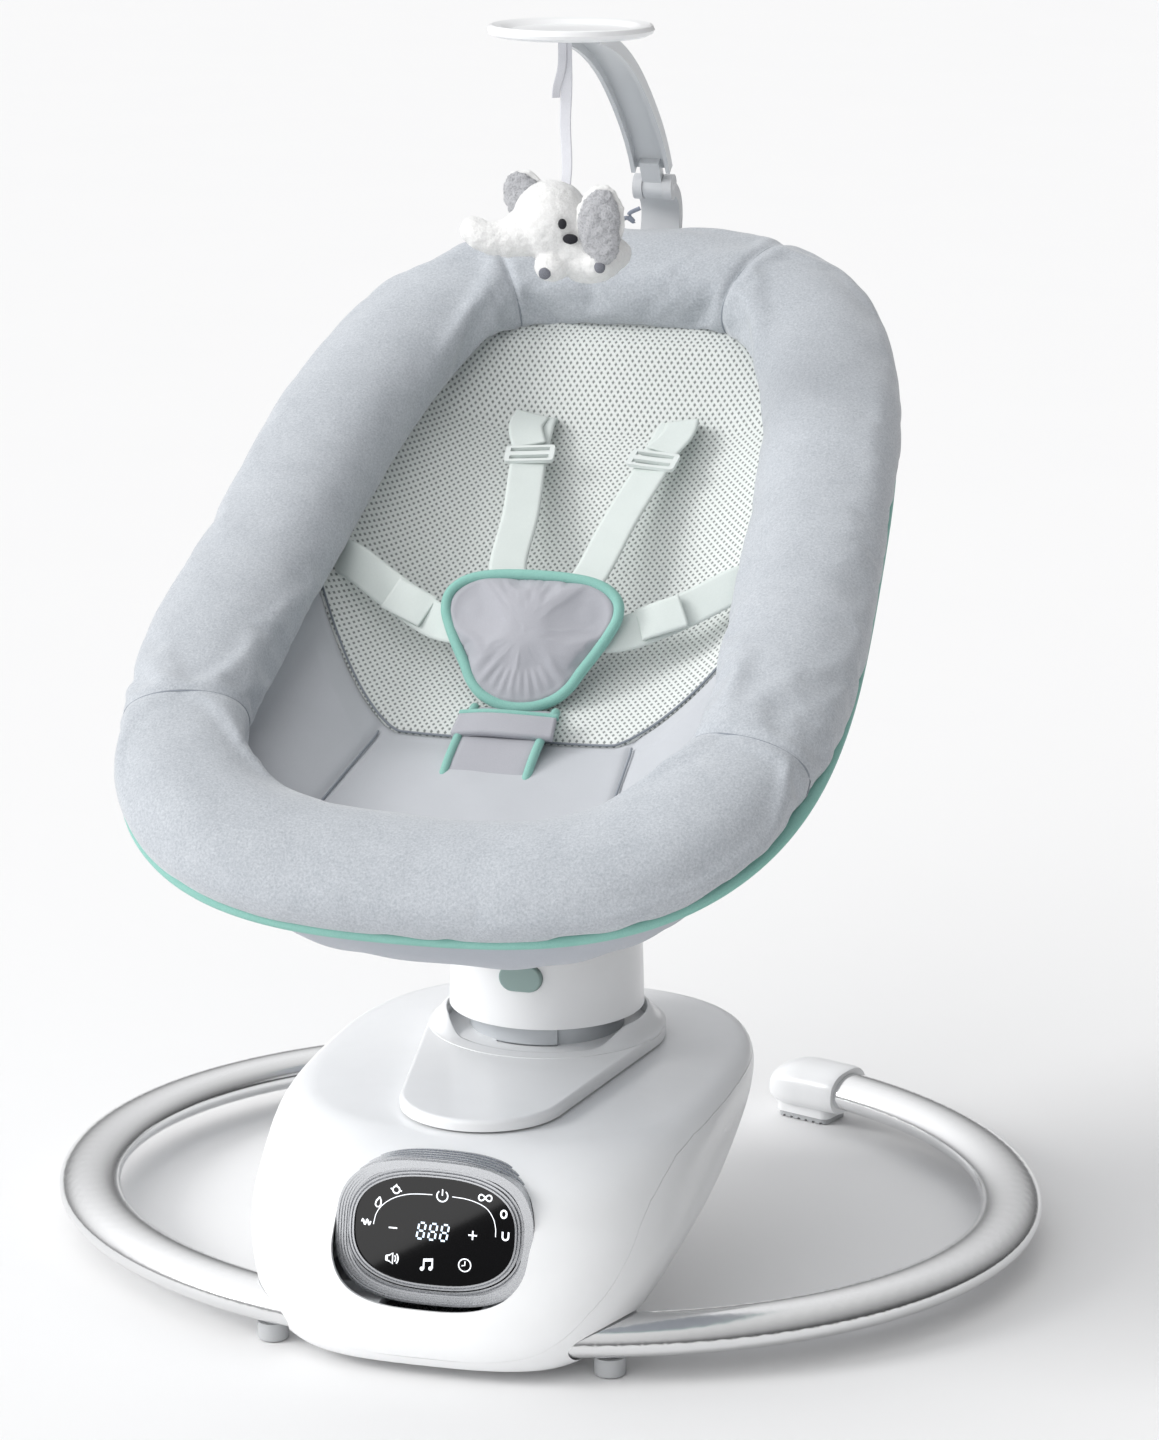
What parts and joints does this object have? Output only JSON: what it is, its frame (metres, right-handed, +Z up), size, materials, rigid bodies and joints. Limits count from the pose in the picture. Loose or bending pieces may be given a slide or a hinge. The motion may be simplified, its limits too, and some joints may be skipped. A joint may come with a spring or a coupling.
{
  "type": "baby swing",
  "caption": "Electric baby swing: open ring base, drive housing with touch panel, swaying and lifting neck, padded seat with harness, and a toy bar with a plush elephant",
  "frame": {"origin": "on the floor at the centre of the base ring, under the neck", "axes": "+Z up, the baby's head end and the ring's gap towards +Y, the control panel towards -Y, +X to the right seen from the front"},
  "size_m": [0.6709, 0.6359, 0.7977],
  "materials": {
    "ring_metal": "satin, brushed along the tube",
    "foot_rubber": "matt",
    "white_shell": "satin gloss",
    "bezel_metal": "turned, satin",
    "panel_glass": "gloss black",
    "circuit_board": "solder mask",
    "display_black": "matt",
    "inner_steel": "zinc plated",
    "inner_plastic": "moulded, matt",
    "bronze": "turned",
    "collar_grey": "satin",
    "button_green": "satin",
    "velour_grey": "heathered velour",
    "mint_trim": "woven tape",
    "pan_fabric": "smooth knit",
    "mesh_white": "spacer mesh",
    "cover_grey": "woven",
    "webbing": "narrow webbing",
    "pad_fabric": "padded knit with mint piping",
    "adjuster_plastic": "moulded",
    "arm_plastic": "satin gloss",
    "ribbon_white": "ribbon",
    "plush_white": "plush"
  },
  "bodies": {
    "base": {"base_ring": "ring_metal", "foot_pads": "foot_rubber", "end_cap_left": "white_shell", "end_cap_right": "white_shell", "end_soles": "foot_rubber", "front_shell": "white_shell", "rear_shell": "white_shell", "panel_bezel": "bezel_metal", "panel_glass": "panel_glass", "control_board": "circuit_board", "display_module": "display_black", "chassis": "inner_steel", "ring_clamps_upper": "inner_plastic", "ring_clamps_lower": "inner_plastic", "clamp_screws": "inner_steel", "pivot_post": "inner_steel", "sway_motor": "inner_steel", "speaker": "inner_plastic", "power_inlet": "inner_plastic"},
    "carriage": {"swing_arm": "inner_plastic", "sector_gear": "inner_plastic", "pivot_bush": "bronze", "glide_pads": "inner_plastic", "guide_tube": "collar_grey", "guide_key": "collar_grey", "lift_motor": "inner_steel", "saddle_cover": "white_shell"},
    "pinion": {"sway_pinion": "inner_plastic"},
    "screw": {"lift_screw": "inner_steel"},
    "seat": {"neck_block": "white_shell", "nut_tube": "inner_plastic", "lift_nut": "bronze", "seat_hub": "inner_plastic", "seat_frame": "inner_steel", "support_strut_left": "inner_steel", "support_strut_right": "inner_steel", "support_strut_head": "inner_steel", "support_strut_foot": "inner_steel", "rim_bolster": "velour_grey", "edge_band": "mint_trim", "seat_pan": "pan_fabric", "mesh_back": "mesh_white", "under_cover": "cover_grey", "shoulder_strap_left": "webbing", "shoulder_strap_right": "webbing", "lap_strap_left": "webbing", "lap_strap_right": "webbing", "harness_pad": "pad_fabric", "buckle_body": "inner_plastic", "crotch_strap": "pad_fabric", "toy_bar_socket": "inner_plastic", "toy_bar_pin": "inner_steel"},
    "button": {"release_button": "button_green"},
    "toy_bar": {"toy_arm": "arm_plastic", "toy_disc": "white_shell"},
    "toy": {"toy_ribbon": "ribbon_white", "toy_elephant": "plush_white"},
    "adjuster_left": {"strap_adjuster_left": "adjuster_plastic"},
    "adjuster_right": {"strap_adjuster_right": "adjuster_plastic"}
  },
  "joints": [
    {"name": "sway", "type": "hinge", "parent": "base", "child": "carriage", "pos_m": [0, -0.15, 0.105], "axis": [0, 0, 1], "range_deg": [-10, 10]},
    {"name": "sway_drive", "type": "hinge", "parent": "base", "child": "pinion", "pos_m": [-0.069, -0.15, 0.105], "axis": [0, 0, 1], "range_deg": [-68, 68]},
    {"name": "lift", "type": "slide", "parent": "carriage", "child": "seat", "axis": [0, 0, 1], "range_m": [-0.012, 0.015]},
    {"name": "lift_drive", "type": "hinge", "parent": "carriage", "child": "screw", "pos_m": [0, 0, 0.15], "axis": [0, 0, 1], "range_deg": [-440, 545]},
    {"name": "seat_release", "type": "slide", "parent": "seat", "child": "button", "axis": [0, 1, 0], "range_m": [0, 0.002], "stiffness_N_per_m": 800},
    {"name": "toy_bar_fold", "type": "hinge", "parent": "seat", "child": "toy_bar", "pos_m": [0, 0.286, 0.665], "axis": [1, 0, 0], "range_deg": [-75, 0]},
    {"name": "toy_swing", "type": "hinge", "parent": "toy_bar", "child": "toy", "pos_m": [0, 0.05, 0.7895], "axis": [0, 1, 0], "range_deg": [-25, 25]},
    {"name": "adjuster_slide_left", "type": "slide", "parent": "seat", "child": "adjuster_left", "axis": [0.1229, -0.8852, -0.4487], "range_m": [-0.025, 0.045]},
    {"name": "adjuster_slide_right", "type": "slide", "parent": "seat", "child": "adjuster_right", "axis": [-0.1229, -0.8852, -0.4487], "range_m": [-0.025, 0.045]}
  ],
  "couplings": [
    {"joint": "sway_drive", "follows": "sway", "ratio": -6.6667},
    {"joint": "lift_drive", "follows": "lift", "rad_per_m": 628.32}
  ]
}
